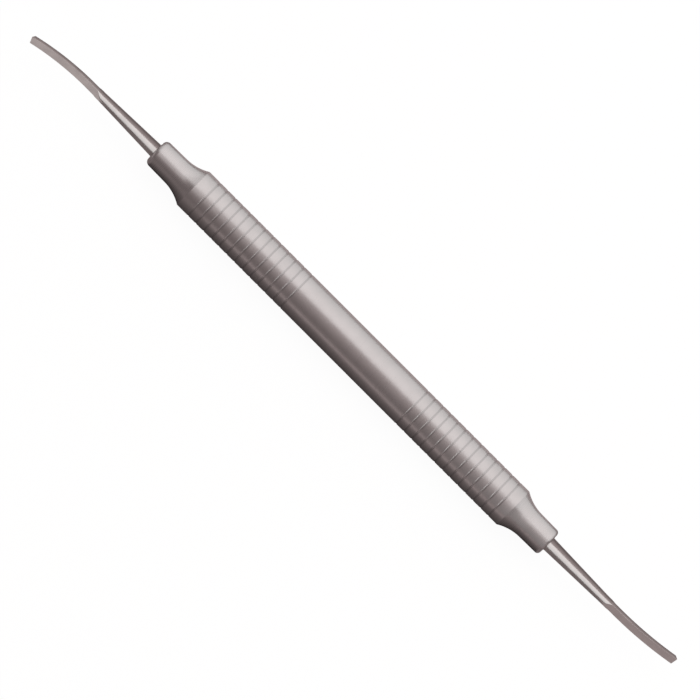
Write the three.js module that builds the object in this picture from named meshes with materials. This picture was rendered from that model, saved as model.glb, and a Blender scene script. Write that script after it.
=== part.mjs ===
// Double-ended dental hand instrument: a hollow turned handle, two nose pieces, and two working ends
// with round tapered shanks ground to flat curved blades. Millimetres, +Z up.
// The handle's axis is X and its middle is the origin. End A points to -X and its blade bends to -Y.
// End B points to +X and its blade bends to +Y. The width of both blades lies along Z.

import * as THREE from 'three';
import * as BufferGeometryUtils from 'three/addons/utils/BufferGeometryUtils.js';

// ---- driving dimensions ----

const HANDLE_RADIUS = 4.75;
const HANDLE_HALF_LENGTH = 46.1;
const WALL = 0.8;

const GROOVE_COUNT = 13;
const GROOVE_PITCH = 2.21;
const GROOVE_DEPTH = 0.08;
const GROOVE_WIDTH = 0.46;
const GROOVE_BAND_CENTRES = [-29.7, 30.3];

const FLARE_END = 51.3;
const NECK_RADIUS_AT_FLARE = 3.26;
const NECK_RADIUS_AT_FACE = 3.2;
const SPIGOT_LENGTH = 8;
const SPIGOT_CHAMFER = 0.4;
const TANG_DEPTH = 14;
const TANG_CHAMFER = 0.3;

const SHANK_RADIUS_AT_MOUTH = 1.6;
const SHANK_RADIUS_AT_BLADE = 1.09;
const SHANK_TAPER_END = 72.4;
const GRIND_LENGTH = 1.5;
const GRIND_SWEEP = 1.3;
const BEND_START = 75.9;
const BLADE_ROOT_THICKNESS = 0.8;
const BLADE_TIP_THICKNESS = 0.64;
const BLADE_ROOT_HALF_WIDTH = 1.25;

// The two ends are finished by hand and differ a little. The corner is the rounded one round the nose
// piece's front face. The tip position is that of the cutting edge's middle, and the skew turns the
// edge so that its +Z corner reaches further out.
const ENDS = {
  a: {
    direction: -1,
    facePosition: 56.9,
    cornerLength: 1.15,
    cornerHeight: 1,
    grindStart: 72.6,
    tipPosition: 91,
    bendRadius: 54,
    tipHalfWidth: 1.18,
    bevelDegrees: 48,
    skewDegrees: 11,
    edgeOnInside: true,
  },
  b: {
    direction: 1,
    facePosition: 56.4,
    cornerLength: 0.8,
    cornerHeight: 0.85,
    grindStart: 73.1,
    tipPosition: 91.5,
    bendRadius: 75,
    tipHalfWidth: 1.28,
    bevelDegrees: 45,
    skewDegrees: 5,
    edgeOnInside: false,
  },
};

// Gap between touching pieces, and the legs of the triangular braze rings.
const CLEARANCE = 0.02;
const JOINT_BRAZE_LEG = 0.35;
const MOUTH_BRAZE_LEG = 0.3;
const MOUTH_BRAZE_RISE = 0.08;

const SIDES = 32;
const FLARE_STEPS = 7;
const CORNER_STEPS = 4;
const BLADE_STEPS = 10;
const GRIND_STEPS = 6;

// ---- materials ----

const STEEL = { roughness: 0.34, metalness: 1 };
const handleSteel = new THREE.MeshStandardMaterial({ color: 0xb9b1af, ...STEEL });
const noseSteel = new THREE.MeshStandardMaterial({ color: 0xb6aeac, ...STEEL });
const bladeSteel = new THREE.MeshStandardMaterial({ color: 0xb0a7a4, ...STEEL });
const braze = new THREE.MeshStandardMaterial({ color: 0xcbc6c0, roughness: 0.28, metalness: 1 });

// ---- helpers ----

const lerp = THREE.MathUtils.lerp;

// Share of the way from start to end, held between 0 and 1.
function progress(position, start, end) {
  return THREE.MathUtils.clamp((position - start) / (end - start), 0, 1);
}

// Turns an outline of [position along X, radius] points about the X axis. The outline either starts
// and ends on the axis or closes on itself. A flat side, not an edge, faces down.
function turned(outline) {
  const points = outline.map(([position, radius]) => new THREE.Vector2(radius, position));
  const lathe = new THREE.LatheGeometry(points, SIDES, Math.PI / SIDES);
  lathe.rotateZ(-Math.PI / 2);
  lathe.deleteAttribute('normal');
  lathe.deleteAttribute('uv');
  return withoutEmptyFaces(BufferGeometryUtils.mergeVertices(lathe, 1e-5));
}

// Drops the triangles that shrink to nothing where an outline meets the axis.
function withoutEmptyFaces(geometry) {
  const index = Array.from(geometry.index.array);
  const kept = [];
  for (let i = 0; i < index.length; i += 3) {
    const [p, q, r] = index.slice(i, i + 3);
    if (p !== q && q !== r && r !== p) {
      kept.push(p, q, r);
    }
  }
  geometry.setIndex(kept);
  return geometry;
}

// Turns a piece of end B into the matching piece of end A, by half a turn about Z.
function placedAtEnd(geometry, direction) {
  if (direction < 0) {
    geometry.rotateZ(Math.PI);
  }
  return geometry;
}

function addPiece(name, geometry, material) {
  geometry.computeVertexNormals();
  const mesh = new THREE.Mesh(geometry, material.clone());
  mesh.name = name;
  group.add(mesh);
}

// ---- handle ----

// One V-shaped grip groove, as the three points that the outline passes on its way along the tube.
function groovePoints(centre) {
  return [
    [centre - GROOVE_WIDTH / 2, HANDLE_RADIUS],
    [centre, HANDLE_RADIUS - GROOVE_DEPTH],
    [centre + GROOVE_WIDTH / 2, HANDLE_RADIUS],
  ];
}

function handleTube() {
  const bore = HANDLE_RADIUS - WALL;
  const end = HANDLE_HALF_LENGTH;
  const outline = [[-end, HANDLE_RADIUS]];
  for (const bandCentre of GROOVE_BAND_CENTRES) {
    const firstGroove = bandCentre - (GROOVE_PITCH * (GROOVE_COUNT - 1)) / 2;
    for (let i = 0; i < GROOVE_COUNT; i += 1) {
      outline.push(...groovePoints(firstGroove + i * GROOVE_PITCH));
    }
  }
  outline.push([end, HANDLE_RADIUS]);
  outline.push([end, bore + JOINT_BRAZE_LEG]);
  outline.push([end - JOINT_BRAZE_LEG, bore]);
  outline.push([-end + JOINT_BRAZE_LEG, bore]);
  outline.push([-end, bore + JOINT_BRAZE_LEG]);
  outline.push([-end, HANDLE_RADIUS]);
  return turned(outline);
}

// ---- nose pieces ----

// The concave flare is an arc that runs out of the neck and meets the handle's outside at a crease.
function flarePoints(shoulder) {
  const length = FLARE_END - shoulder;
  const rise = HANDLE_RADIUS - NECK_RADIUS_AT_FLARE;
  const arcRadius = (length * length + rise * rise) / (2 * rise);
  const points = [];
  for (let i = 0; i <= FLARE_STEPS; i += 1) {
    const distance = length * (1 - i / FLARE_STEPS);
    const radius = NECK_RADIUS_AT_FLARE + arcRadius - Math.sqrt(arcRadius ** 2 - distance ** 2);
    points.push([FLARE_END - distance, radius]);
  }
  return points;
}

// The rounded corner between the neck and the front face: a quarter of an ellipse.
function cornerPoints(end) {
  const points = [];
  for (let i = 0; i <= CORNER_STEPS; i += 1) {
    const angle = (Math.PI / 2) * (i / CORNER_STEPS);
    const position = end.facePosition - end.cornerLength * (1 - Math.sin(angle));
    const radius = NECK_RADIUS_AT_FACE - end.cornerHeight * (1 - Math.cos(angle));
    points.push([position, radius]);
  }
  return points;
}

function nosePiece(end) {
  const shoulder = HANDLE_HALF_LENGTH + CLEARANCE;
  const spigotRadius = HANDLE_RADIUS - WALL - CLEARANCE;
  const spigotEnd = HANDLE_HALF_LENGTH - SPIGOT_LENGTH;
  const boreRadius = SHANK_RADIUS_AT_MOUTH + CLEARANCE;
  const face = end.facePosition;
  const boreEnd = face - TANG_DEPTH;
  return turned([
    [spigotEnd, 0],
    [spigotEnd, spigotRadius - SPIGOT_CHAMFER],
    [spigotEnd + SPIGOT_CHAMFER, spigotRadius],
    [shoulder, spigotRadius],
    ...flarePoints(shoulder),
    ...cornerPoints(end),
    [face, boreRadius + MOUTH_BRAZE_LEG],
    [face - MOUTH_BRAZE_LEG, boreRadius],
    [boreEnd, boreRadius],
    [boreEnd, 0],
  ]);
}

// ---- braze rings ----

// Fills the chamfer in the tube's mouth, between the tube, the spigot and the shoulder.
function jointBraze() {
  const inner = HANDLE_RADIUS - WALL;
  const outer = HANDLE_HALF_LENGTH - CLEARANCE / 2;
  const leg = JOINT_BRAZE_LEG - 3 * CLEARANCE;
  return turned([
    [outer - leg, inner],
    [outer, inner + leg],
    [outer, inner],
    [outer - leg, inner],
  ]);
}

// Fills the countersink round the shank and stands just proud of the front face.
function mouthBraze(end) {
  const inner = SHANK_RADIUS_AT_MOUTH + CLEARANCE;
  const leg = MOUTH_BRAZE_LEG - CLEARANCE;
  const start = end.facePosition - MOUTH_BRAZE_LEG + 2 * CLEARANCE;
  return turned([
    [start, inner],
    [start + leg, inner + leg],
    [start + leg + MOUTH_BRAZE_RISE, inner],
    [start, inner],
  ]);
}

// ---- working ends ----

function shankRadius(position, end) {
  return lerp(
    SHANK_RADIUS_AT_MOUTH,
    SHANK_RADIUS_AT_BLADE,
    progress(position, end.facePosition, SHANK_TAPER_END),
  );
}

// Outline radius along the blade: half of its width.
function bladeHalfWidth(position, end) {
  const fullSection = end.grindStart + GRIND_LENGTH;
  if (position < fullSection) {
    const grown = progress(position, end.grindStart, fullSection);
    return lerp(SHANK_RADIUS_AT_BLADE, BLADE_ROOT_HALF_WIDTH, grown);
  }
  return lerp(
    BLADE_ROOT_HALF_WIDTH,
    end.tipHalfWidth,
    progress(position, fullSection, end.tipPosition),
  );
}

// Distance of the two ground flats from the middle plane. The flats run out of the round shank in a
// concave sweep, and the blade then thins evenly towards its tip.
function halfThickness(position, end) {
  const fullSection = end.grindStart + GRIND_LENGTH;
  const bladeShare = progress(position, fullSection, end.tipPosition);
  const flat = lerp(BLADE_ROOT_THICKNESS, BLADE_TIP_THICKNESS, bladeShare) / 2;
  const left = 1 - progress(position, end.grindStart, fullSection);
  return flat + (SHANK_RADIUS_AT_BLADE - flat) * left ** GRIND_SWEEP;
}

// Length measured along the bent blade, from the handle's middle to the tip.
function tipDistance(end) {
  const reach = end.tipPosition - BEND_START;
  return BEND_START + end.bendRadius * Math.asin(reach / end.bendRadius);
}

// Moves one point of the straight round bar to its place on the finished working end: pressed onto
// the flats, slanted by bevel and skew if it is on the tip, then bent along the blade's arc to +Y.
function shapeBladePoint(point, end, tip) {
  const limit = halfThickness(point.x, end);
  const edgeSide = end.edgeOnInside ? 1 : -1;
  point.y = THREE.MathUtils.clamp(point.y, -limit, limit);
  if (point.x > tip - 1e-3) {
    const bevelRun = 1 / Math.tan(THREE.MathUtils.degToRad(end.bevelDegrees));
    const skewRun = Math.tan(THREE.MathUtils.degToRad(end.skewDegrees));
    point.x += skewRun * point.z - (limit - edgeSide * point.y) * bevelRun;
  }
  if (point.x > BEND_START) {
    const angle = (point.x - BEND_START) / end.bendRadius;
    const radius = end.bendRadius - point.y;
    point.x = BEND_START + radius * Math.sin(angle);
    point.y = end.bendRadius - radius * Math.cos(angle);
  }
}

function workingEnd(end) {
  const tip = tipDistance(end);
  const tangEnd = end.facePosition - TANG_DEPTH + TANG_CHAMFER;
  const bevelLength = BLADE_TIP_THICKNESS / Math.tan(THREE.MathUtils.degToRad(end.bevelDegrees));
  const outline = [
    [tangEnd, 0],
    [tangEnd, SHANK_RADIUS_AT_MOUTH - TANG_CHAMFER],
    [tangEnd + TANG_CHAMFER, SHANK_RADIUS_AT_MOUTH],
    [end.facePosition, SHANK_RADIUS_AT_MOUTH],
    [SHANK_TAPER_END, shankRadius(SHANK_TAPER_END, end)],
  ];
  for (let i = 0; i <= GRIND_STEPS; i += 1) {
    const position = end.grindStart + GRIND_LENGTH * (i / GRIND_STEPS);
    outline.push([position, bladeHalfWidth(position, end)]);
  }
  const lastRing = tip - 2 * bevelLength;
  for (let i = 0; i <= BLADE_STEPS; i += 1) {
    const position = lerp(BEND_START, lastRing, i / BLADE_STEPS);
    outline.push([position, bladeHalfWidth(position, end)]);
  }
  outline.push([tip, end.tipHalfWidth]);
  outline.push([tip, 0]);

  const geometry = turned(outline);
  const positions = geometry.attributes.position;
  const point = new THREE.Vector3();
  for (let i = 0; i < positions.count; i += 1) {
    point.fromBufferAttribute(positions, i);
    if (point.x > end.grindStart) {
      shapeBladePoint(point, end, tip);
      positions.setXYZ(i, point.x, point.y, point.z);
    }
  }
  return geometry;
}

// ---- assembly ----

const group = new THREE.Group();

addPiece('handle_tube', handleTube(), handleSteel);
for (const [letter, end] of Object.entries(ENDS)) {
  addPiece(`nose_piece_${letter}`, placedAtEnd(nosePiece(end), end.direction), noseSteel);
  addPiece(`working_end_${letter}`, placedAtEnd(workingEnd(end), end.direction), bladeSteel);
  addPiece(`joint_braze_${letter}`, placedAtEnd(jointBraze(), end.direction), braze);
  addPiece(`mouth_braze_${letter}`, placedAtEnd(mouthBraze(end), end.direction), braze);
}

export default group;
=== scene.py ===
"""Double-ended dental hand instrument: fine meshes, materials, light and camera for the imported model."""
import math

import bmesh
import bpy
from mathutils import Matrix, Vector


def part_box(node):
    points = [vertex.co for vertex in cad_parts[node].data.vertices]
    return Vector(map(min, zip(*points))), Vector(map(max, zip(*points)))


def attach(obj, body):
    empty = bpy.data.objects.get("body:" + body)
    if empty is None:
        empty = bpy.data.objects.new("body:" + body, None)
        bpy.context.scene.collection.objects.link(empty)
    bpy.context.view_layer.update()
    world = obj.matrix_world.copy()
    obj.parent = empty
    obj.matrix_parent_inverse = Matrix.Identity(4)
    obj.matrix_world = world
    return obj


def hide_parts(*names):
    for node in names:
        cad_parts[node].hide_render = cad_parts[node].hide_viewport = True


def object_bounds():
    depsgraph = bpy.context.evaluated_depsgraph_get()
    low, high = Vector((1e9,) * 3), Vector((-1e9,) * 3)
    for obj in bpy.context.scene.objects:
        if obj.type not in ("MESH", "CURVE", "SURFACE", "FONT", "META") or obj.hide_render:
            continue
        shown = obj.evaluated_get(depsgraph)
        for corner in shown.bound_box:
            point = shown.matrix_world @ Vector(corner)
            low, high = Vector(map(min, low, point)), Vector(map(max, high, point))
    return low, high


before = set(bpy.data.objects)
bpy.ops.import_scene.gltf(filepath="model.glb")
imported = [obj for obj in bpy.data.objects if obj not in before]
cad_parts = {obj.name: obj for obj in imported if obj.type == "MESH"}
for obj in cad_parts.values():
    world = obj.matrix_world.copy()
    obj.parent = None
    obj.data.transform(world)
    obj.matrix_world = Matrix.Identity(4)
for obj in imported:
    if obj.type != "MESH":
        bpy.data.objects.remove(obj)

CAD_LOW, CAD_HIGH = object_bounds()

MM = 0.001
X_AXIS = Vector((1, 0, 0))
ENDS = {"a": -1, "b": 1}

# ---- sizes read from the frame ----

HANDLE_HALF_LENGTH, _, HANDLE_RADIUS = Vector(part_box("handle_tube")[1])
SHANK_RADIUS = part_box("working_end_a")[1][2]
FLOOR_HEIGHT = CAD_LOW.z


def reach(node):
    """Distances along X from the handle's middle to the near and the far side of a piece of one end."""
    low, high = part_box(node)
    return sorted((abs(low[0]), abs(high[0])))


SPIGOT_END = {letter: reach(f"nose_piece_{letter}")[0] for letter in ENDS}
NOSE_FACE = {letter: reach(f"nose_piece_{letter}")[1] for letter in ENDS}
TANG_END = {letter: reach(f"working_end_{letter}")[0] for letter in ENDS}
TIP_REACH = {letter: reach(f"working_end_{letter}")[1] for letter in ENDS}

# ---- sizes of the fine shape, in metres ----

WALL = 0.8 * MM
GROOVE_COUNT = 13
GROOVE_PITCH = 2.21 * MM
GROOVE_DEPTH = 0.08 * MM
GROOVE_WIDTH = 0.46 * MM
GROOVE_EDGE = 0.02 * MM
GROOVE_BAND_CENTRES = (-29.7 * MM, 30.3 * MM)
# Rounding of the turned edges, and the gap between handle and nose piece.
TURNED_EDGE = 0.006 * MM
JOINT_GAP = 0.005 * MM
JOINT_CHAMFER = 0.35 * MM
CLEARANCE = 0.02 * MM
TANG_CHAMFER = 0.3 * MM

FLARE_END = 51.3 * MM
NECK_RADIUS_AT_FLARE = 3.26 * MM
NECK_RADIUS_AT_FACE = 3.2 * MM
# Length and height of the rounded corner round each front face.
NOSE_CORNERS = {"a": (1.15 * MM, 1 * MM), "b": (0.8 * MM, 0.85 * MM)}
MOUTH_CHAMFER = 0.3 * MM
MOUTH_BRAZE_RISE = 0.08 * MM

SHANK_RADIUS_AT_BLADE = 1.09 * MM
SHANK_TAPER_END = 72.4 * MM
GRIND_LENGTH = 1.5 * MM
BEND_START = 75.9 * MM
GRIND_SWEEP = 1.3
BLADE_ROOT_THICKNESS = 0.8 * MM
BLADE_TIP_THICKNESS = 0.64 * MM
BLADE_ROOT_HALF_WIDTH = 1.25 * MM
GRIND_EDGE_ROUNDING = 0.2 * MM
BLADE_EDGE_ROUNDING = 0.015 * MM
TIP_ROUNDING = 0.035 * MM
# An edge side of 1 puts the cutting edge on the inside of the blade's curve, and -1 on the outside.
BLADES = {
    "a": {
        "grind_start": 72.6 * MM,
        "bend_radius": 54 * MM,
        "tip_half_width": 1.18 * MM,
        "bevel_degrees": 48,
        "skew_degrees": 11,
        "edge_side": 1,
    },
    "b": {
        "grind_start": 73.1 * MM,
        "bend_radius": 75 * MM,
        "tip_half_width": 1.28 * MM,
        "bevel_degrees": 45,
        "skew_degrees": 5,
        "edge_side": -1,
    },
}

# ---- fineness of the meshes ----

TURNED_SIDES = 192
GROOVE_STEPS = 8
FLARE_STEPS = 28
CORNER_STEPS = 14
MOUTH_BRAZE_STEPS = 8
EDGE_ARC_STEPS = 3
# Radius of the innermost ring on a flat end, as a share of the end's radius.
END_RING_SHARE = 0.3
# Corners that turn less than this stay as they are, and an arc takes up to this share of a side.
LEAST_ROUNDED_TURN = math.radians(12)
LONGEST_ARC_SHARE = 0.45

# Steps round a quarter of the blade's section, on the narrow edge and on the flat. They crowd towards
# the arris between the two.
EDGE_STEPS = 24
FLAT_STEPS = 16
ARRIS_CROWDING = 1.6
MAX_ARRIS_ANGLE = math.radians(80)
BLADE_CRISP_ANGLE = 35

# Steps along a working end. The sections start to slant three bevel lengths before the tip.
SHANK_STEPS = 20
GRIND_STEPS = 40
BLADE_STEPS = 48
SLANT_STEPS = 12
TIP_STEPS = 3
SLANT_REACH = 3


# ---- small helpers ----

def lerp(start, end, share):
    return start + (end - start) * share


def progress(position, start, end):
    """Share of the way from start to end, held between 0 and 1."""
    return min(1.0, max(0.0, (position - start) / (end - start)))


def evenly(start, end, steps):
    """Evenly spaced positions after start, up to and including end."""
    return [lerp(start, end, step / steps) for step in range(1, steps + 1)]


def smooth_min(value, limit, blend):
    """The smaller of two lengths, with a rounded change-over that is blend long."""
    overlap = max(blend - abs(value - limit), 0.0) / blend
    return min(value, limit) - overlap * overlap * blend / 4


def rounded(outline):
    """Rounds every inner corner of a turned outline of (position, radius) points with a small arc."""
    points = [Vector(point) for point in outline]
    result = [points[0]]
    for before, corner, after in zip(points, points[1:], points[2:]):
        to_before, to_after = before - corner, after - corner
        turn = math.pi - to_before.angle(to_after)
        if turn < LEAST_ROUNDED_TURN:
            result.append(corner)
            continue
        room = LONGEST_ARC_SHARE * min(to_before.length, to_after.length)
        leg = min(TURNED_EDGE * math.tan(turn / 2), room)
        start = corner + to_before.normalized() * leg
        end = corner + to_after.normalized() * leg
        for step in range(EDGE_ARC_STEPS + 1):
            share = step / EDGE_ARC_STEPS
            result.append(start.lerp(corner, share).lerp(corner.lerp(end, share), share))
    result.append(points[-1])
    return [tuple(point) for point in result]


def mesh_from_rings(name, rings, closed_loop=False, crisp_angle=180):
    """Skins a list of equal rings of points. Open ends are closed with a fan round the ring's middle.
    Edges that turn by more than crisp_angle degrees stay crisp."""
    mesh = bpy.data.meshes.new(name)
    bm = bmesh.new()
    made = [[bm.verts.new(point) for point in ring] for ring in rings]
    pairs = list(zip(made, made[1:]))
    if closed_loop:
        pairs.append((made[-1], made[0]))
    for first, second in pairs:
        count = len(first)
        for i in range(count):
            j = (i + 1) % count
            bm.faces.new((first[i], first[j], second[j], second[i]))
    if not closed_loop:
        for ring in (made[0], made[-1]):
            middle = bm.verts.new(sum((v.co for v in ring), Vector()) / len(ring))
            for i, vertex in enumerate(ring):
                bm.faces.new((vertex, ring[(i + 1) % len(ring)], middle))
    bmesh.ops.recalc_face_normals(bm, faces=bm.faces)
    for face in bm.faces:
        face.smooth = True
    for edge in bm.edges:
        edge.smooth = edge.calc_face_angle() < math.radians(crisp_angle)
    bm.to_mesh(mesh)
    bm.free()
    piece = bpy.data.objects.new(name, mesh)
    bpy.context.scene.collection.objects.link(piece)
    return piece


def turned_rings(outline, direction=1):
    """Rings of points round the X axis, one for each (position, radius) point of the outline."""
    rings = []
    for position, radius in outline:
        ring = []
        for side in range(TURNED_SIDES):
            angle = 2 * math.pi * side / TURNED_SIDES
            y, z = radius * math.cos(angle), radius * math.sin(angle)
            ring.append(Vector((direction * position, y, z)))
        rings.append(ring)
    return rings


def finish_piece(piece, node, material):
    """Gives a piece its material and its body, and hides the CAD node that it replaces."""
    piece.data.materials.append(material)
    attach(piece, "root")
    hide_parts(node)


# ---- handle tube ----

def groove_outline(centre):
    """One grip groove, cut with a round-nosed tool: an arc with crisp edges between flat lands."""
    land = GROOVE_WIDTH / 2 + GROOVE_EDGE
    points = [(centre - land, HANDLE_RADIUS)]
    for step in range(GROOVE_STEPS + 1):
        across = 2 * step / GROOVE_STEPS - 1
        dip = GROOVE_DEPTH * (1 - across * across)
        points.append((centre + across * GROOVE_WIDTH / 2, HANDLE_RADIUS - dip))
    points.append((centre + land, HANDLE_RADIUS))
    return points


def handle_outline():
    bore = HANDLE_RADIUS - WALL
    end = HANDLE_HALF_LENGTH
    grooves = []
    for centre in GROOVE_BAND_CENTRES:
        first = centre - GROOVE_PITCH * (GROOVE_COUNT - 1) / 2
        for i in range(GROOVE_COUNT):
            grooves.extend(groove_outline(first + i * GROOVE_PITCH))
    outside = [
        (-end, bore + JOINT_CHAMFER),
        (-end, HANDLE_RADIUS),
        *grooves,
        (end, HANDLE_RADIUS),
        (end, bore + JOINT_CHAMFER),
    ]
    inside = [
        (end - JOINT_CHAMFER, bore),
        (-end + JOINT_CHAMFER, bore),
    ]
    return rounded(outside) + inside


def build_handle(material):
    piece = mesh_from_rings("handle_tube_fine", turned_rings(handle_outline()), closed_loop=True)
    finish_piece(piece, "handle_tube", material)
    return piece


# ---- nose pieces ----

def flare_outline(shoulder):
    """The concave flare, from the crease at the handle to the start of the neck."""
    length = FLARE_END - shoulder
    rise = HANDLE_RADIUS - NECK_RADIUS_AT_FLARE
    arc_radius = (length ** 2 + rise ** 2) / (2 * rise)
    points = []
    for step in range(FLARE_STEPS + 1):
        distance = length * (1 - step / FLARE_STEPS)
        radius = NECK_RADIUS_AT_FLARE + arc_radius - math.sqrt(arc_radius ** 2 - distance ** 2)
        points.append((FLARE_END - distance, radius))
    return points


def corner_outline(letter):
    """The rounded corner between the neck and the front face: a quarter of an ellipse."""
    length, height = NOSE_CORNERS[letter]
    points = []
    for step in range(CORNER_STEPS + 1):
        angle = math.pi / 2 * step / CORNER_STEPS
        position = NOSE_FACE[letter] - length * (1 - math.sin(angle))
        points.append((position, NECK_RADIUS_AT_FACE - height * (1 - math.cos(angle))))
    return points


def nose_outline(letter):
    shoulder = HANDLE_HALF_LENGTH + JOINT_GAP
    spigot_radius = HANDLE_RADIUS - WALL - 2 * CLEARANCE
    bore = SHANK_RADIUS + CLEARANCE
    bore_end = TANG_END[letter] - 2 * CLEARANCE
    face = NOSE_FACE[letter]
    flare = flare_outline(shoulder)
    spigot = [
        (SPIGOT_END[letter], END_RING_SHARE * spigot_radius),
        (SPIGOT_END[letter], spigot_radius),
        (shoulder, spigot_radius),
        (shoulder, HANDLE_RADIUS),
        flare[1],
    ]
    corner = corner_outline(letter)
    front = [
        corner[-1],
        (face, bore + MOUTH_CHAMFER),
        (face - MOUTH_CHAMFER, bore),
        (bore_end, bore),
        (bore_end, END_RING_SHARE * bore),
    ]
    return rounded(spigot)[:-1] + flare[1:] + corner[:-1] + rounded(front)


def build_nose(letter, direction, material):
    piece = mesh_from_rings(f"nose_piece_{letter}_fine", turned_rings(nose_outline(letter), direction))
    finish_piece(piece, f"nose_piece_{letter}", material)
    return piece


# ---- braze fillets at the mouths ----

def mouth_braze_outline(letter):
    """Fills the countersink round the shank and rises a little in a concave fillet."""
    inner = SHANK_RADIUS + CLEARANCE
    leg = MOUTH_CHAMFER - CLEARANCE
    start = NOSE_FACE[letter] - MOUTH_CHAMFER + 2 * CLEARANCE
    points = [(start, inner)]
    for step in range(MOUTH_BRAZE_STEPS + 1):
        share = 1 - step / MOUTH_BRAZE_STEPS
        rise = MOUTH_BRAZE_RISE * (1 - share) ** 2
        points.append((start + leg + rise, inner + leg * share))
    return points


def build_mouth_braze(letter, direction, material):
    rings = turned_rings(mouth_braze_outline(letter), direction)
    piece = mesh_from_rings(f"mouth_braze_{letter}_fine", rings, closed_loop=True)
    finish_piece(piece, f"mouth_braze_{letter}", material)
    return piece


# ---- working ends ----

class WorkingEnd:
    """The shape of one working end: a tang, a round tapered shank, and a bent blade with a bevel."""

    def __init__(self, letter):
        blade = BLADES[letter]
        self.face = NOSE_FACE[letter]
        self.tang_end = TANG_END[letter]
        self.grind_start = blade["grind_start"]
        self.full_section = self.grind_start + GRIND_LENGTH
        self.bend_radius = blade["bend_radius"]
        self.tip_half_width = blade["tip_half_width"]
        self.edge_side = blade["edge_side"]
        self.bevel_run = 1 / math.tan(math.radians(blade["bevel_degrees"]))
        self.skew_run = math.tan(math.radians(blade["skew_degrees"]))
        edge_radius = self.bend_radius - self.edge_side * BLADE_TIP_THICKNESS / 2
        bend = math.asin((TIP_REACH[letter] - BEND_START) / edge_radius)
        edge_middle = BEND_START + self.bend_radius * bend
        self.tip = edge_middle - self.skew_run * self.tip_half_width - CLEARANCE

    def half_width(self, position):
        """Outline radius: the tang, the tapered shank, then half of the blade's width."""
        if position <= self.face:
            return SHANK_RADIUS
        if position < self.grind_start:
            tapered = progress(position, self.face, SHANK_TAPER_END)
            return lerp(SHANK_RADIUS, SHANK_RADIUS_AT_BLADE, tapered)
        if position < self.full_section:
            grown = progress(position, self.grind_start, self.full_section)
            grown = grown * grown * (3 - 2 * grown)
            return lerp(SHANK_RADIUS_AT_BLADE, BLADE_ROOT_HALF_WIDTH, grown)
        along = progress(position, self.full_section, self.tip)
        return lerp(BLADE_ROOT_HALF_WIDTH, self.tip_half_width, along)

    def half_thickness(self, position):
        """Distance of the ground flats from the middle plane. They sweep out of the round shank."""
        along = progress(position, self.full_section, self.tip)
        flat = lerp(BLADE_ROOT_THICKNESS, BLADE_TIP_THICKNESS, along) / 2
        left = 1 - progress(position, self.grind_start, self.full_section)
        return flat + (SHANK_RADIUS_AT_BLADE - flat) * left ** GRIND_SWEEP

    @staticmethod
    def angles(thickness_share):
        """Angles round a cross-section. They crowd towards the four arrises between flats and edges."""
        arris = min(MAX_ARRIS_ANGLE, math.asin(min(1.0, thickness_share)))
        quarter = []
        for step in range(EDGE_STEPS):
            quarter.append(arris * (1 - (1 - step / EDGE_STEPS) ** ARRIS_CROWDING))
        for step in range(FLAT_STEPS):
            quarter.append(arris + (math.pi / 2 - arris) * (step / FLAT_STEPS) ** ARRIS_CROWDING)
        half = quarter + [math.pi / 2] + [math.pi - angle for angle in quarter[:0:-1]]
        return half + [math.pi + angle for angle in half]

    def ring(self, position, slant, inset):
        """One cross-section, slanted by the bevel and the skew and then bent along the blade's arc."""
        width = self.half_width(position) - inset
        ground = position > self.grind_start
        grown = progress(position, self.grind_start, self.full_section)
        edge_rounding = lerp(GRIND_EDGE_ROUNDING, BLADE_EDGE_ROUNDING, grown)
        limit = self.half_thickness(position) - inset if ground else 2 * width
        points = []
        for angle in self.angles(limit / width):
            y = width * math.sin(angle)
            z = width * math.cos(angle)
            if ground:
                y = math.copysign(smooth_min(abs(y), limit, edge_rounding), y)
            x = position + slant * (self.skew_run * z - (limit - self.edge_side * y) * self.bevel_run)
            if x > BEND_START:
                bend = (x - BEND_START) / self.bend_radius
                x = BEND_START + (self.bend_radius - y) * math.sin(bend)
                y = self.bend_radius - (self.bend_radius - y) * math.cos(bend)
            points.append(Vector((x, y, z)))
        return points

    def stations(self):
        """(position, slant, inset) of each cross-section from the tang's end to the tip."""
        stations = [
            (self.tang_end, 0, TANG_CHAMFER),
            (self.tang_end + TANG_CHAMFER, 0, 0),
            (self.face, 0, 0),
        ]
        slant_start = self.tip - SLANT_REACH * BLADE_TIP_THICKNESS * self.bevel_run
        straight = [
            *evenly(self.face, self.grind_start, SHANK_STEPS)[:-1],
            self.grind_start - CLEARANCE,
            *evenly(self.grind_start, self.full_section, GRIND_STEPS),
            *evenly(self.full_section, slant_start, BLADE_STEPS),
        ]
        stations += [(position, 0, 0) for position in straight]
        last = self.tip - TIP_ROUNDING
        for share in evenly(0, 1, SLANT_STEPS):
            stations.append((lerp(slant_start, last, share), share, 0))
        for angle in evenly(0, math.pi / 2, TIP_STEPS):
            position = last + TIP_ROUNDING * math.sin(angle)
            stations.append((position, 1, TIP_ROUNDING * (1 - math.cos(angle))))
        return stations


def build_working_end(letter, direction, material):
    end = WorkingEnd(letter)
    rings = []
    for station in end.stations():
        rings.append([Vector((direction * p.x, direction * p.y, p.z)) for p in end.ring(*station)])
    piece = mesh_from_rings(f"working_end_{letter}_fine", rings, crisp_angle=BLADE_CRISP_ANGLE)
    finish_piece(piece, f"working_end_{letter}", material)
    return piece


# ---- materials ----

# Painted shade in the grip grooves: the bottom of a groove is darker than the handle by this factor.
# The painted shade starts just below the handle's outside.
PAINTED_GROOVE_SHADE = 0.79
PAINTED_GROOVE_SHADE_START = 0.01 * MM

# How far the noise is stretched along X, Y and Z. Marks of turning run round the X axis, and marks of
# grinding run along it.
TURNED_MARKS = (14.0, 0.05, 0.05)
GROUND_MARKS = (0.25, 9.0, 9.0)
EVEN = (1.0, 1.0, 1.0)

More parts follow.
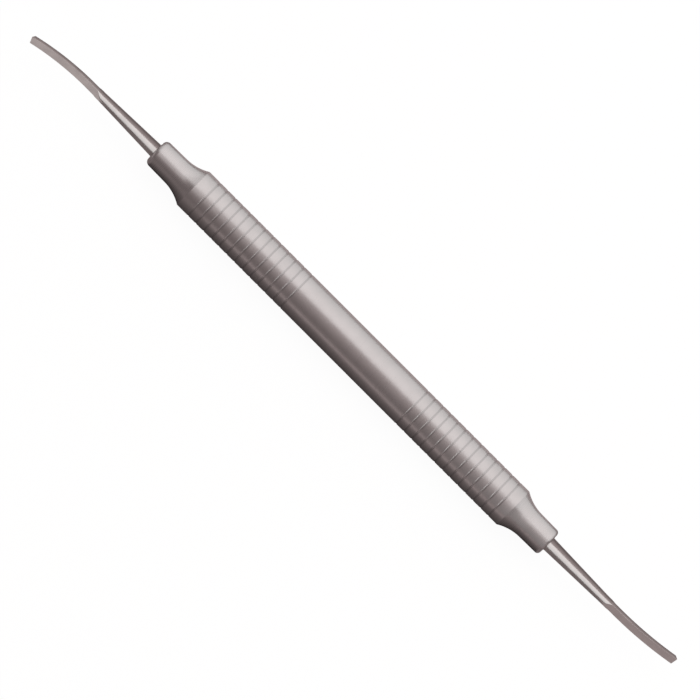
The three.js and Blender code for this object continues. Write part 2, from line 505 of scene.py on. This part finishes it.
# The darkest and the lightest shade in each metal's mottling, as shares of its colour.
TURNED_SHADES = (0.97, 1.02)
GROUND_SHADES = (0.92, 1.05)
BRAZE_SHADES = (0.9, 1.0)


def new_material(name, color, roughness):
    """A metal. Returns the material, its nodes and links, and its shader."""
    material = bpy.data.materials.new(name)
    material.use_nodes = True
    shader = material.node_tree.nodes["Principled BSDF"]
    shader.inputs["Base Color"].default_value = (*color, 1)
    shader.inputs["Metallic"].default_value = 1.0
    shader.inputs["Roughness"].default_value = roughness
    return material, material.node_tree.nodes, material.node_tree.links, shader


def stretched_noise(nodes, links, scale, stretch, detail):
    """Noise in the piece's own coordinates, in millimetres. A larger stretch makes it finer."""
    coordinates = nodes.new("ShaderNodeTexCoord")
    mapping = nodes.new("ShaderNodeMapping")
    mapping.inputs["Scale"].default_value = [s / MM for s in stretch]
    noise = nodes.new("ShaderNodeTexNoise")
    noise.inputs["Scale"].default_value = scale
    noise.inputs["Detail"].default_value = detail
    links.new(coordinates.outputs["Object"], mapping.inputs["Vector"])
    links.new(mapping.outputs["Vector"], noise.inputs["Vector"])
    return noise.outputs["Fac"]


def remap(nodes, links, value, low, high, in_low=0.3, in_high=0.7):
    """Spreads the values from in_low to in_high, the usual range of noise, over low to high."""
    ranger = nodes.new("ShaderNodeMapRange")
    ranger.inputs["From Min"].default_value = in_low
    ranger.inputs["From Max"].default_value = in_high
    ranger.inputs["To Min"].default_value = low
    ranger.inputs["To Max"].default_value = high
    links.new(value, ranger.inputs["Value"])
    return ranger.outputs["Result"]


def tint(nodes, links, shader, factor, color, shades):
    """Varies the metal's colour between two shades of it and returns the varied colour's socket."""
    ramp = nodes.new("ShaderNodeValToRGB")
    for element, shade in zip(ramp.color_ramp.elements, shades):
        element.color = (*(min(1.0, shade * part) for part in color), 1)
    links.new(factor, ramp.inputs["Fac"])
    links.new(ramp.outputs["Color"], shader.inputs["Base Color"])
    return ramp.outputs["Color"]


def add_bump(nodes, links, shader, height, distance, strength):
    bump = nodes.new("ShaderNodeBump")
    bump.inputs["Distance"].default_value = distance
    bump.inputs["Strength"].default_value = strength
    links.new(height, bump.inputs["Height"])
    links.new(bump.outputs["Normal"], shader.inputs["Normal"])


def painted_groove_share(nodes, links):
    """Mask of the painted groove shade: 0 on the handle's lands, and 1 at the bottom of the grooves."""
    coordinates = nodes.new("ShaderNodeTexCoord")
    flatten = nodes.new("ShaderNodeVectorMath")
    flatten.operation = "MULTIPLY"
    flatten.inputs[1].default_value = (0, 1, 1)
    length = nodes.new("ShaderNodeVectorMath")
    length.operation = "LENGTH"
    links.new(coordinates.outputs["Object"], flatten.inputs[0])
    links.new(flatten.outputs["Vector"], length.inputs[0])
    top, bottom = HANDLE_RADIUS - PAINTED_GROOVE_SHADE_START, HANDLE_RADIUS - GROOVE_DEPTH
    return remap(nodes, links, length.outputs["Value"], 0, 1, top, bottom)


def turned_steel(name, color, roughness, with_painted_groove_shade=False):
    """Satin stainless steel, turned in a lathe: fine marks run round the X axis. It can paint shade into
    the grooves.
    """
    material, nodes, links, shader = new_material(name, color, roughness)
    marks = stretched_noise(nodes, links, scale=1.0, stretch=TURNED_MARKS, detail=4.0)
    mottle = stretched_noise(nodes, links, scale=0.35, stretch=EVEN, detail=2.0)
    lands = tint(nodes, links, shader, remap(nodes, links, mottle, 0, 1), color, TURNED_SHADES)
    # Painted shade: the colour darkens towards the bottom of each groove, where shade falls.
    if with_painted_groove_shade:
        darken = nodes.new("ShaderNodeMix")
        darken.data_type = "RGBA"
        links.new(painted_groove_share(nodes, links), darken.inputs["Factor"])
        links.new(lands, darken.inputs["A"])
        darken.inputs["B"].default_value = (*(PAINTED_GROOVE_SHADE * part for part in color), 1)
        links.new(darken.outputs["Result"], shader.inputs["Base Color"])
    varied = remap(nodes, links, marks, roughness - 0.04, roughness + 0.05)
    links.new(varied, shader.inputs["Roughness"])
    add_bump(nodes, links, shader, marks, distance=0.004 * MM, strength=0.35)
    return material


def blade_steel(name, color, roughness):
    """Polished shank and ground blade: finer marks, running lengthwise."""
    material, nodes, links, shader = new_material(name, color, roughness)
    marks = stretched_noise(nodes, links, scale=1.0, stretch=GROUND_MARKS, detail=4.0)
    mottle = stretched_noise(nodes, links, scale=0.5, stretch=EVEN, detail=2.0)
    tint(nodes, links, shader, remap(nodes, links, mottle, 0, 1), color, GROUND_SHADES)
    varied = remap(nodes, links, marks, roughness - 0.03, roughness + 0.05)
    links.new(varied, shader.inputs["Roughness"])
    add_bump(nodes, links, shader, marks, distance=0.003 * MM, strength=0.3)
    return material


def braze_metal(name, color, roughness):
    """Silver braze: smooth, lightly rippled where it froze."""
    material, nodes, links, shader = new_material(name, color, roughness)
    ripple = stretched_noise(nodes, links, scale=2.0, stretch=EVEN, detail=3.0)
    tint(nodes, links, shader, ripple, color, BRAZE_SHADES)
    add_bump(nodes, links, shader, ripple, distance=0.02 * MM, strength=0.3)
    return material


# ---- camera ----

# The camera looks down on the handle, tilted from the vertical and rolled, through a long lens. The
# object stands a little right of and above the middle of the picture.
VIEW_TILT = math.radians(35)
PICTURE_ROLL = math.radians(45)
LENS = 600
SENSOR = 36
FRAME_WIDTH = 3.0974 * HANDLE_HALF_LENGTH
OFFSET_RIGHT = 0.0139 * HANDLE_HALF_LENGTH
OFFSET_UP = 0.0083 * HANDLE_HALF_LENGTH
CLIP_START, CLIP_END = 0.01, 50

TOWARDS_CAMERA = Vector((0, -math.sin(VIEW_TILT), math.cos(VIEW_TILT)))
ACROSS = Vector((0, math.cos(VIEW_TILT), math.sin(VIEW_TILT)))
PICTURE_RIGHT = math.cos(PICTURE_ROLL) * X_AXIS + math.sin(PICTURE_ROLL) * ACROSS
PICTURE_UP = math.cos(PICTURE_ROLL) * ACROSS - math.sin(PICTURE_ROLL) * X_AXIS


def build_camera():
    data = bpy.data.cameras.new("camera")
    data.lens = LENS
    data.sensor_width = SENSOR
    camera = bpy.data.objects.new("camera", data)
    distance = FRAME_WIDTH * LENS / SENSOR
    target = -(OFFSET_RIGHT * PICTURE_RIGHT + OFFSET_UP * PICTURE_UP)
    axes = Matrix((PICTURE_RIGHT, PICTURE_UP, TOWARDS_CAMERA)).transposed()
    camera.matrix_world = Matrix.Translation(target + distance * TOWARDS_CAMERA) @ axes.to_4x4()
    data.clip_start = CLIP_START
    data.clip_end = CLIP_END
    bpy.context.scene.collection.objects.link(camera)
    bpy.context.scene.camera = camera


# ---- lights ----

WHITE = (1, 1, 1)

# Name: (degrees from the camera, distance, length, width, radiance, shift along X, colour). Metres.
SOFTBOXES = {
    "overhead_softbox": (68.5, 0.6, 2.82, 1.54, 0.64, 0.79, (0.99, 1, 1)),
    "side_panel": (68.5, 0.8, 1.6, 1.9, 0.55, -1.627, WHITE),
    "end_b_fill": (-32, 0.12, 0.26, 0.19, 0.16, 0.172, WHITE),
    "end_a_panel": (4, 0.15, 0.12, 0.08, 0.27, -0.097, WHITE),
    "end_b_panel": (10, 0.15, 0.13, 0.055, 0.34, 0.1, WHITE),
    "grazing_panel": (-30, 0.42, 0.72, 0.42, 1.4, 0.96, WHITE),
    "front_softbox": (-9, 0.6, 1.6, 1.0, 0.84, 0.0, WHITE),
}


def softbox(name, degrees, distance, length, width, radiance, shift, color):
    """A rectangular light of even radiance that faces the object. Its length lies along X. Degrees turn
    it round the handle, from the camera's side over the top towards the back."""
    angle = math.radians(degrees)
    direction = math.cos(angle) * TOWARDS_CAMERA + math.sin(angle) * ACROSS
    data = bpy.data.lights.new(name, "AREA")
    data.shape = "RECTANGLE"
    data.size = length
    data.size_y = width
    data.energy = radiance * math.pi * length * width
    data.color = color
    light = bpy.data.objects.new(name, data)
    across = direction.cross(X_AXIS)
    axes = Matrix((X_AXIS, across, direction)).transposed()
    light.matrix_world = Matrix.Translation(distance * direction + shift * X_AXIS) @ axes.to_4x4()
    light.visible_camera = False
    bpy.context.scene.collection.objects.link(light)
    return light


def only_lights(light, pieces):
    """Restricts a light to some pieces."""
    receivers = bpy.data.collections.new(light.name + "_receivers")
    for piece in pieces:
        receivers.objects.link(piece)
    light.light_linking.receiver_collection = receivers


def build_lights(working_ends, turned_pieces, floor):
    """Soft studio light: an overhead softbox for all that is turned, with dimmer panels beside it and
    at both ends, a panel that grazes the grooves, and a softbox in front for the working ends."""
    receivers = {
        "overhead_softbox": turned_pieces + [floor],
        "grazing_panel": turned_pieces[:1],
        "front_softbox": working_ends,
    }
    for name, settings in SOFTBOXES.items():
        only_lights(softbox(name, *settings), receivers.get(name, turned_pieces))


# ---- studio and floor ----

# Radiance of the studio round the handle, from straight down (0) through the horizon (0.5) to straight
# up (1), and its warm tint. The camera sees the pale backdrop instead.
STUDIO_GRADIENT = (
    (0.0, 0.2), (0.48, 0.2), (0.52, 0.145), (0.6, 0.155), (0.75, 0.21), (0.91, 0.31), (1.0, 0.38),
)
STUDIO_TINT = (1.225, 1.0, 0.995)
BACKDROP_COLOR = (0.97, 0.97, 0.97, 1)

FLOOR_REACH = 3
FLOOR_COLOR = (0.06, 0.06, 0.06, 1)
FLOOR_GLOW = 0.96


def gradient(nodes, stops, tint_color):
    """A colour ramp whose grey levels are tinted."""
    ramp = nodes.new("ShaderNodeValToRGB")
    elements = ramp.color_ramp.elements
    while len(elements) < len(stops):
        elements.new(0.5)
    for element, (position, level) in zip(elements, stops):
        element.position = position
        element.color = (*(level * part for part in tint_color), 1)
    return ramp


def build_world():
    """The studio as a soft gradient by height, and the backdrop that the camera sees."""
    world = bpy.data.worlds.new("studio")
    bpy.context.scene.world = world
    world.use_nodes = True
    nodes, links = world.node_tree.nodes, world.node_tree.links
    coordinates = nodes.new("ShaderNodeTexCoord")
    parts = nodes.new("ShaderNodeSeparateXYZ")
    links.new(coordinates.outputs["Generated"], parts.inputs["Vector"])
    height = remap(nodes, links, parts.outputs["Z"], 0, 1, -1, 1)
    ramp = gradient(nodes, STUDIO_GRADIENT, STUDIO_TINT)
    links.new(height, ramp.inputs["Fac"])
    background = nodes["Background"]
    links.new(ramp.outputs["Color"], background.inputs["Color"])
    backdrop = nodes.new("ShaderNodeBackground")
    backdrop.inputs["Color"].default_value = BACKDROP_COLOR
    seen = nodes.new("ShaderNodeLightPath")
    mix = nodes.new("ShaderNodeMixShader")
    links.new(seen.outputs["Is Camera Ray"], mix.inputs["Fac"])
    links.new(background.outputs["Background"], mix.inputs[1])
    links.new(backdrop.outputs["Background"], mix.inputs[2])
    links.new(mix.outputs["Shader"], nodes["World Output"].inputs["Surface"])


def staged_plane(name, low, high, height):
    """A level rectangle with a new material. It belongs to the stage, not to the object."""
    mesh = bpy.data.meshes.new(name)
    corners = [(low[0], low[1]), (high[0], low[1]), (high[0], high[1]), (low[0], high[1])]
    mesh.from_pydata([(x, y, height) for x, y in corners], [], [(0, 1, 2, 3)])
    plane = bpy.data.objects.new(name, mesh)
    bpy.context.scene.collection.objects.link(plane)
    material = bpy.data.materials.new(name)
    material.use_nodes = True
    mesh.materials.append(material)
    return plane, material.node_tree.nodes, material.node_tree.links


def build_floor():
    """The pale floor that the camera sees. Polished metal sees the reflector cards instead."""
    low, high = (-FLOOR_REACH, -FLOOR_REACH), (FLOOR_REACH, FLOOR_REACH)
    floor, nodes, _ = staged_plane("floor", low, high, FLOOR_HEIGHT)
    shader = nodes["Principled BSDF"]
    shader.inputs["Base Color"].default_value = FLOOR_COLOR
    shader.inputs["Roughness"].default_value = 0.9
    shader.inputs["Specular IOR Level"].default_value = 0.0
    shader.inputs["Emission Color"].default_value = (*WHITE, 1)
    shader.inputs["Emission Strength"].default_value = FLOOR_GLOW
    floor.visible_glossy = False
    return floor


# ---- reflector cards ----

# (y in millimetres, radiance) across the card under the handle. A bright strip of painted lit floor lies
# in front of the handle, and the card is darkest right under it: a painted shadow of the handle on the
# floor.
PAINTED_SHADOW_CARD_STOPS = (
    (-200, 0.2), (-40, 0.19), (-34, 0.42), (-24, 0.42), (-18, 0.18), (-11.5, 0.125),
    (-8, 0.1), (-5.5, 0.07), (-3, 0.03), (4, 0.03), (12, 0.38), (200, 0.45),
)
CARD_REACH = 200 * MM
CARD_HALF_LENGTH = 0.5
BLADE_CARD_REACH = 16 * MM
# Depths below the floor. The plain cards lie over the graded ones.
GRADED_CARD_DEPTH = 0.06 * MM
PLAIN_CARD_DEPTH = 0.03 * MM
# Radiance and tint of the plain cards.
SHANK_CARD = (0.19, STUDIO_TINT)
BLADE_CARDS = {"a": (0.53, (1.15, 1.0, 0.99)), "b": (0.37, STUDIO_TINT)}
# The bright strip stops short of end A. Past that, the front half of the card stays dim.
STRIP_START = -40 * MM
DIM_CARD = 0.2


def reflector_card(name, low, high, height, stops, tint_color):
    """A card lying flat that only reflections see, graded along its own Y, in millimetres."""
    card, nodes, links = staged_plane(name, low, high, height)
    card.visible_camera = False
    card.visible_diffuse = False
    card.visible_shadow = False
    nodes.remove(nodes["Principled BSDF"])
    emission = nodes.new("ShaderNodeEmission")
    links.new(emission.outputs["Emission"], nodes["Material Output"].inputs["Surface"])
    coordinates = nodes.new("ShaderNodeTexCoord")
    parts = nodes.new("ShaderNodeSeparateXYZ")
    links.new(coordinates.outputs["Object"], parts.inputs["Vector"])
    first, last = stops[0][0], stops[-1][0]
    along = remap(nodes, links, parts.outputs["Y"], 0, 1, first * MM, last * MM)
    shares = [((position - first) / (last - first), level) for position, level in stops]
    ramp = gradient(nodes, shares, tint_color)
    links.new(along, ramp.inputs["Fac"])
    links.new(ramp.outputs["Color"], emission.inputs["Color"])


def build_reflector_cards():
    """Cards under the object: graded ones under the handle, which carry a painted shadow of the handle,
    and plain ones under the working ends.
    """
    graded_height = FLOOR_HEIGHT - GRADED_CARD_DEPTH
    low, high = (STRIP_START, -CARD_REACH), (CARD_HALF_LENGTH, CARD_REACH)
    reflector_card("handle_card", low, high, graded_height, PAINTED_SHADOW_CARD_STOPS, STUDIO_TINT)
    dim_stops = [(y, min(level, DIM_CARD) if y < 0 else level) for y, level in PAINTED_SHADOW_CARD_STOPS]
    low, high = (-CARD_HALF_LENGTH, -CARD_REACH), (STRIP_START, CARD_REACH)
    reflector_card("end_a_card", low, high, graded_height, dim_stops, STUDIO_TINT)
    for letter, direction in ENDS.items():
        grind_start = BLADES[letter]["grind_start"]
        for kind, start, end, across, (level, tint_color) in (
            ("shank", NOSE_FACE[letter], grind_start, CARD_REACH, SHANK_CARD),
            ("blade", grind_start, 2 * TIP_REACH[letter], BLADE_CARD_REACH, BLADE_CARDS[letter]),
        ):
            near, far = sorted((direction * start, direction * end))
            low, high = (near, -across), (far, across)
            even_stops = ((-CARD_REACH / MM, level), (CARD_REACH / MM, level))
            height = FLOOR_HEIGHT - PLAIN_CARD_DEPTH
            reflector_card(f"{kind}_card_{letter}", low, high, height, even_stops, tint_color)


# ---- assembly ----

bpy.context.scene.view_settings.view_transform = "Standard"

handle_material = turned_steel("handle_satin_steel", (0.61, 0.605, 0.6), 0.31, with_painted_groove_shade=True)
nose_material = turned_steel("nose_satin_steel", (0.61, 0.605, 0.6), 0.29)
blade_material = blade_steel("blade_ground_steel", (0.595, 0.585, 0.575), 0.24)
braze_material = braze_metal("silver_braze", (0.75, 0.72, 0.7), 0.22)

working_ends = []
turned_pieces = [build_handle(handle_material)]
for letter, direction in ENDS.items():
    turned_pieces.append(build_nose(letter, direction, nose_material))
    turned_pieces.append(build_mouth_braze(letter, direction, braze_material))
    working_ends.append(build_working_end(letter, direction, blade_material))
    hidden_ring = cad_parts[f"joint_braze_{letter}"]
    hidden_ring.data.materials.clear()
    hidden_ring.data.materials.append(braze_material)

floor = build_floor()
build_reflector_cards()
build_lights(working_ends, turned_pieces, floor)
build_world()
build_camera()
